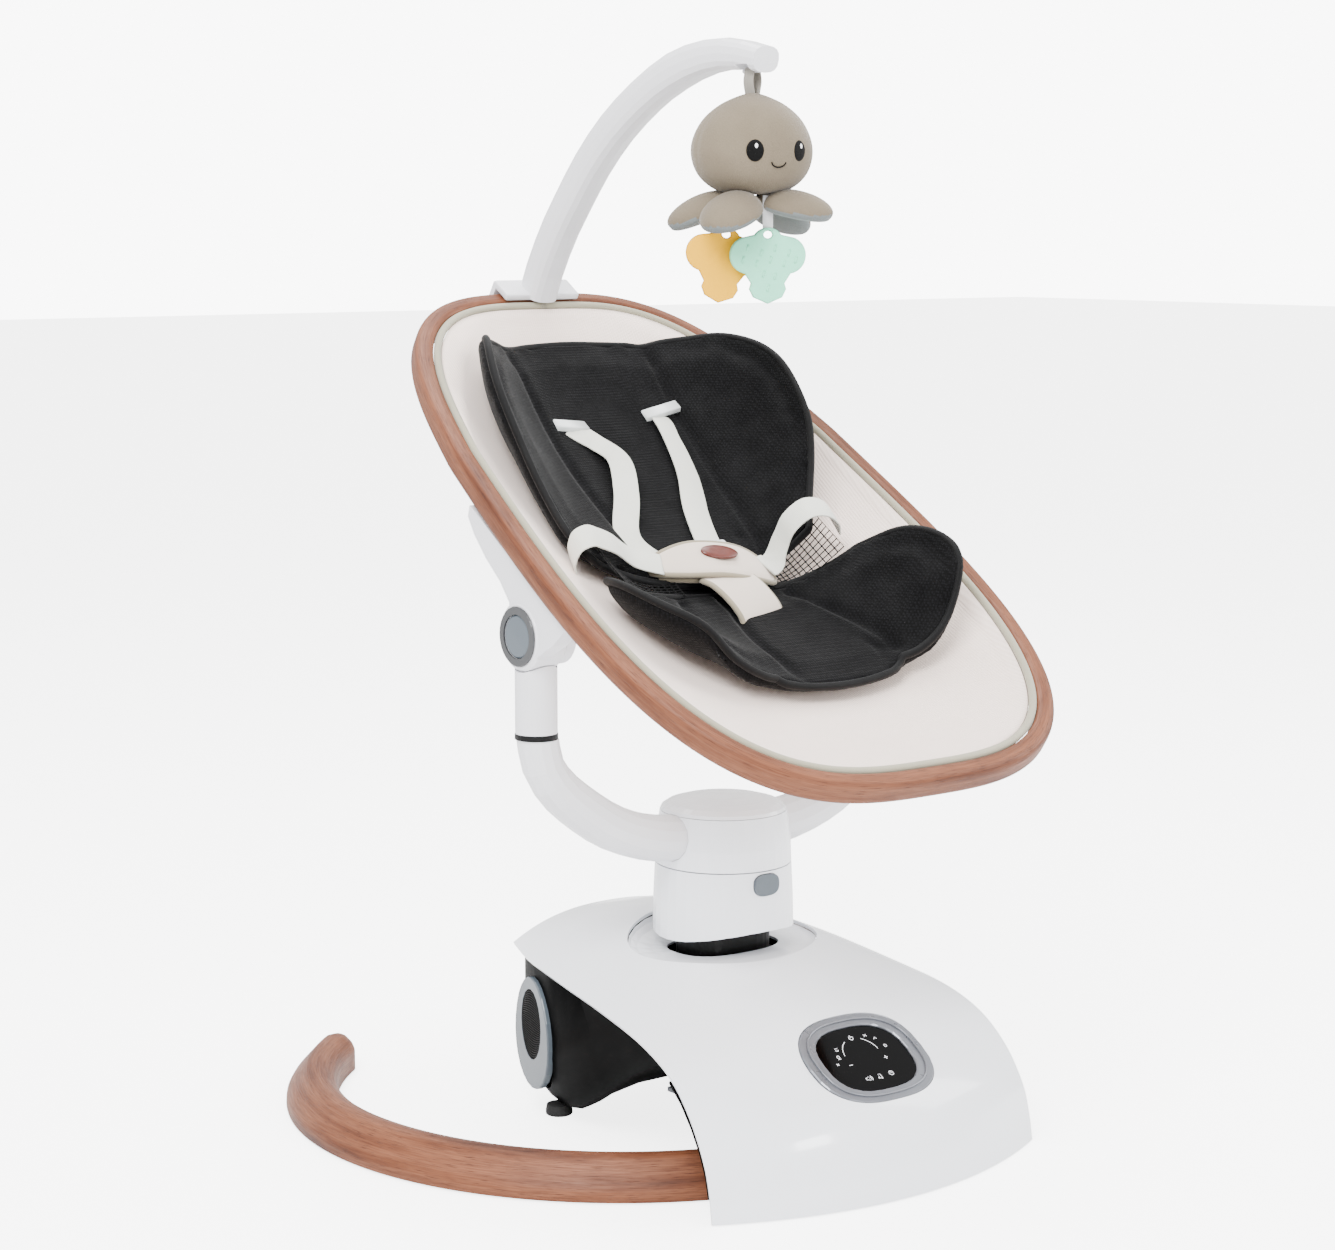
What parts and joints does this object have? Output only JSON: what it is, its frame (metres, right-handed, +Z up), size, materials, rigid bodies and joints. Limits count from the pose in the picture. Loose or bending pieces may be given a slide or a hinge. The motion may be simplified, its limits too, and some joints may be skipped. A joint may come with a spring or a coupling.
{
  "type": "baby swing",
  "caption": "Electric baby swing: rocking and turning neck on a moulded base with a wooden floor hoop, reclining sling seat with harness, and a removable toy bar with a hanging plush toy.",
  "frame": {"origin": "on the floor, under the middle of the swing's bounding box", "axes": "+Z up, front with the control panel towards -Y, head end of the seat towards +Y, left is -X as seen by someone who faces the front"},
  "size_m": [0.6736, 0.6616, 0.9708],
  "materials": {
    "white_plastic": "gloss",
    "light_tube": "satin",
    "light_plastic": "satin",
    "charcoal_plastic": "satin",
    "black_plastic": "satin",
    "wood": "satin lacquer",
    "grey_plastic": "satin",
    "blue_grey_plastic": "satin",
    "silver_trim": "metallised",
    "black_glass": "gloss",
    "steel": "machined",
    "circuit_board": "solder mask",
    "rubber": "matte",
    "cream_cloth": "ribbed knit",
    "piping_cloth": "woven tape",
    "black_knit": "spacer knit",
    "webbing": "woven webbing",
    "buckle_cloth": "padded cover",
    "plush": "velour",
    "yellow_silicone": "matte silicone",
    "mint_silicone": "matte silicone"
  },
  "bodies": {
    "base": {"base_shell": "white_plastic", "neck_well": "white_plastic", "base_housing": "charcoal_plastic", "shell_liner": "charcoal_plastic", "speaker_left": "blue_grey_plastic", "speaker_right": "blue_grey_plastic", "rear_foot_left": "rubber", "rear_foot_right": "rubber", "power_socket": "black_plastic", "hoop_left": "wood", "hoop_right": "wood", "chassis_plate": "steel", "control_bezel": "silver_trim", "control_glass": "black_glass", "control_board": "circuit_board", "bearing_front": "steel", "bearing_rear": "steel", "swing_motor": "steel"},
    "drive_pinion": {"drive_pinion": "steel"},
    "neck": {"swing_axle": "steel", "neck_post": "steel", "drive_sector": "steel", "neck_housing": "white_plastic", "slot_shutter": "black_plastic", "turn_bearing": "steel"},
    "release_button": {"release_button": "blue_grey_plastic"},
    "fork": {"neck_collar": "white_plastic", "neck_cap": "white_plastic", "arm_left": "light_tube", "arm_right": "light_tube", "joint_ring_left": "black_plastic", "joint_ring_right": "black_plastic", "upright_left": "light_tube", "upright_right": "light_tube", "hinge_pin_left": "steel", "hinge_pin_right": "steel"},
    "seat": {"bracket_left": "white_plastic", "bracket_right": "white_plastic", "hinge_ring_left": "grey_plastic", "hinge_ring_right": "grey_plastic", "seat_rim": "wood", "seat_piping": "piping_cloth", "seat_sling": "cream_cloth", "insert_back": "black_knit", "insert_seat": "black_knit", "shoulder_strap_left": "webbing", "shoulder_strap_right": "webbing", "waist_strap_left": "webbing", "waist_strap_right": "webbing", "crotch_strap": "webbing", "buckle": "light_plastic", "buckle_pad": "buckle_cloth"},
    "recline_button_left": {"recline_button_left": "blue_grey_plastic"},
    "recline_button_right": {"recline_button_right": "blue_grey_plastic"},
    "toy_bar": {"toy_bar": "light_plastic"},
    "toy_loop": {"toy_loop": "plush"},
    "plush": {"plush_head": "plush", "plush_legs": "plush"},
    "teether_mint": {"teether_mint": "mint_silicone"},
    "teether_yellow": {"teether_yellow": "yellow_silicone"}
  },
  "joints": [
    {"name": "swing", "type": "hinge", "parent": "base", "child": "neck", "pos_m": [0, -0.0435, 0.1], "axis": [0, 1, 0], "range_deg": [-6, 6]},
    {"name": "pinion_spin", "type": "hinge", "parent": "base", "child": "drive_pinion", "pos_m": [-0.05168, 0.0145, 0.08119], "axis": [0, 1, 0], "range_deg": [-27.5, 27.5]},
    {"name": "seat_turn", "type": "hinge", "parent": "neck", "child": "fork", "pos_m": [0, -0.0435, 0.2437], "axis": [0, 0, 1], "range_deg": [-90, 90]},
    {"name": "turn_release", "type": "slide", "parent": "neck", "child": "release_button", "axis": [0, 1, 0], "range_m": [0, 0.003], "stiffness_N_per_m": 800},
    {"name": "recline", "type": "hinge", "parent": "fork", "child": "seat", "pos_m": [0, -0.0435, 0.466], "axis": [1, 0, 0], "range_deg": [-18, 0]},
    {"name": "recline_press_left", "type": "slide", "parent": "seat", "child": "recline_button_left", "axis": [1, 0, 0], "range_m": [0, 0.003], "stiffness_N_per_m": 800},
    {"name": "recline_press_right", "type": "slide", "parent": "seat", "child": "recline_button_right", "axis": [-1, 0, 0], "range_m": [0, 0.003], "stiffness_N_per_m": 800},
    {"name": "toy_bar_lift", "type": "slide", "parent": "seat", "child": "toy_bar", "axis": [0, -0.5402, 0.8415], "range_m": [0, 0.05]},
    {"name": "loop_swing", "type": "hinge", "parent": "toy_bar", "child": "toy_loop", "pos_m": [0, -0.0811, 0.941], "axis": [0, 1, 0], "range_deg": [-15, 15]},
    {"name": "plush_swing", "type": "hinge", "parent": "toy_loop", "child": "plush", "pos_m": [0, -0.0811, 0.923], "axis": [1, 0, 0], "range_deg": [-20, 20]},
    {"name": "teether_mint_swing", "type": "hinge", "parent": "plush", "child": "teether_mint", "pos_m": [0, -0.1026, 0.8355], "axis": [0.5, 0.866, 0], "range_deg": [-10, 10]},
    {"name": "teether_yellow_swing", "type": "hinge", "parent": "plush", "child": "teether_yellow", "pos_m": [-0.0205, -0.0776, 0.8355], "axis": [0.5, 0.866, 0], "range_deg": [-10, 10]}
  ],
  "couplings": [
    {"joint": "pinion_spin", "follows": "swing", "ratio": -4.5}
  ]
}
